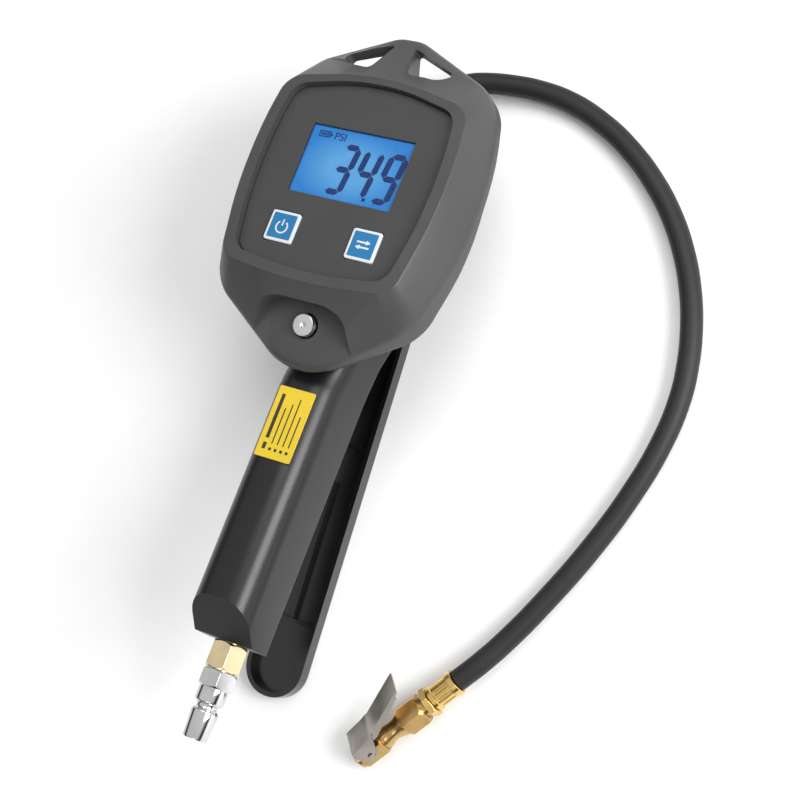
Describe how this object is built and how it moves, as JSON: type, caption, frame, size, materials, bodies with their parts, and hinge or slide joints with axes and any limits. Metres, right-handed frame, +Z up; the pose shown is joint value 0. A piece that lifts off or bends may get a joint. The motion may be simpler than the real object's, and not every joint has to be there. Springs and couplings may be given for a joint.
{
  "type": "tire pressure gauge",
  "caption": "Digital tyre inflator gun with a display head, squeeze lever, air plug and rubber hose ending in a clip-on chuck.",
  "frame": {"origin": "middle of the gun's footprint on the floor it lies on, hose and chuck left out", "axes": "+Y along the gun from the air plug to the hanging loop, +X to the right of the display, +Z up from the floor"},
  "size_m": [0.2073, 0.3249, 0.0891],
  "materials": {
    "housing": "soft-touch satin moulding",
    "cover": "fine spark-eroded texture",
    "panel": "smooth satin",
    "lens": "clear, polished",
    "screen": "backlit liquid crystal display",
    "key": "smooth with a white printed border",
    "board": "solder resist",
    "component": "moulded",
    "cell": "printed sleeve",
    "steel": "zinc plated",
    "spring": "drawn spring wire and strip",
    "chrome": "polished chrome plate",
    "brass": "turned, bright",
    "seal": "moulded nitrile",
    "grip": "die cast with a fine black coating",
    "label": "yellow sticker with plain ruled bars",
    "lever": "semi-gloss black",
    "hose": "matt black",
    "clip": "nickel plated strip"
  },
  "bodies": {
    "gun": {"front_housing": "housing", "rear_cover": "cover", "battery_door": "cover", "face_panel": "panel", "panel_gasket": "seal", "screen_lens": "lens", "lcd_module": "screen", "circuit_board": "board", "tact_switch_1": "component", "tact_switch_2": "component", "battery_1": "cell", "battery_2": "cell", "battery_spring_1": "spring", "battery_spring_2": "spring", "contact_plate_left": "spring", "contact_plate_right": "spring", "battery_door_screw": "steel", "housing_screw_1": "steel", "housing_screw_2": "steel", "housing_screw_3": "steel", "housing_screw_4": "steel", "body_screw_1": "steel", "body_screw_2": "steel", "body_screw_3": "steel", "body_screw_4": "steel", "pressure_sensor": "steel", "sensor_seal": "seal", "bleed_bushing": "brass", "bleed_seal": "seal", "bleed_spring": "spring", "grip_body": "grip", "label_plate": "label", "inlet_adapter": "brass", "air_plug": "chrome", "outlet_fitting": "brass", "gun_ferrule": "brass", "valve_cap": "brass", "valve_gland": "brass", "valve_spring": "spring", "lever_pin": "steel", "pin_clip": "spring", "lever_spring": "spring", "air_hose": "hose", "chuck_ferrule": "brass", "chuck_stem": "brass", "chuck_body": "brass", "chuck_seal": "seal", "core_spring": "spring", "clip_rivet_1": "clip", "clip_rivet_2": "clip", "clip_spring": "spring"},
    "trigger": {"trigger_lever": "lever"},
    "valve": {"valve_stem": "brass", "valve_seal": "seal"},
    "bleed": {"bleed_button": "chrome"},
    "power_key": {"power_button": "key"},
    "unit_key": {"unit_button": "key"},
    "chuck_clip": {"clip_lever": "clip"},
    "chuck_pin": {"chuck_core": "brass"}
  },
  "joints": [
    {"name": "trigger_hinge", "type": "hinge", "parent": "gun", "child": "trigger", "pos_m": [0, 0.05564, 0.00962], "axis": [-1, 0, 0], "range_deg": [0, 8], "stiffness_Nm_per_rad": 2, "springref_deg": -17.19},
    {"name": "valve_slide", "type": "slide", "parent": "gun", "child": "valve", "axis": [0, 0.1564, 0.9877], "range_m": [0, 0.0026], "deforming": ["valve_spring"]},
    {"name": "bleed_press", "type": "slide", "parent": "gun", "child": "bleed", "axis": [0, 0.0523, -0.9986], "range_m": [0, 0.0025], "stiffness_N_per_m": 400, "springref_m": -0.002, "deforming": ["bleed_spring"]},
    {"name": "power_press", "type": "slide", "parent": "gun", "child": "power_key", "axis": [0, -0.1564, -0.9877], "range_m": [0, 0.0006], "stiffness_N_per_m": 600, "springref_m": -0.001},
    {"name": "unit_press", "type": "slide", "parent": "gun", "child": "unit_key", "axis": [0, -0.1564, -0.9877], "range_m": [0, 0.0006], "stiffness_N_per_m": 600, "springref_m": -0.001},
    {"name": "clip_hinge", "type": "hinge", "parent": "gun", "child": "chuck_clip", "pos_m": [0.05702, -0.14158, 0.00882], "axis": [-0.6507, 0.488, -0.5817], "range_deg": [0, 9], "stiffness_Nm_per_rad": 0.6, "springref_deg": -17.19, "deforming": ["clip_spring"]},
    {"name": "core_slide", "type": "slide", "parent": "gun", "child": "chuck_pin", "axis": [0.6, 0.8, 0], "range_m": [0, 0.0003], "stiffness_N_per_m": 300, "springref_m": -0.001}
  ],
  "couplings": [
    {"joint": "valve_slide", "follows": "trigger_hinge", "m_per_rad": 0.018}
  ]
}
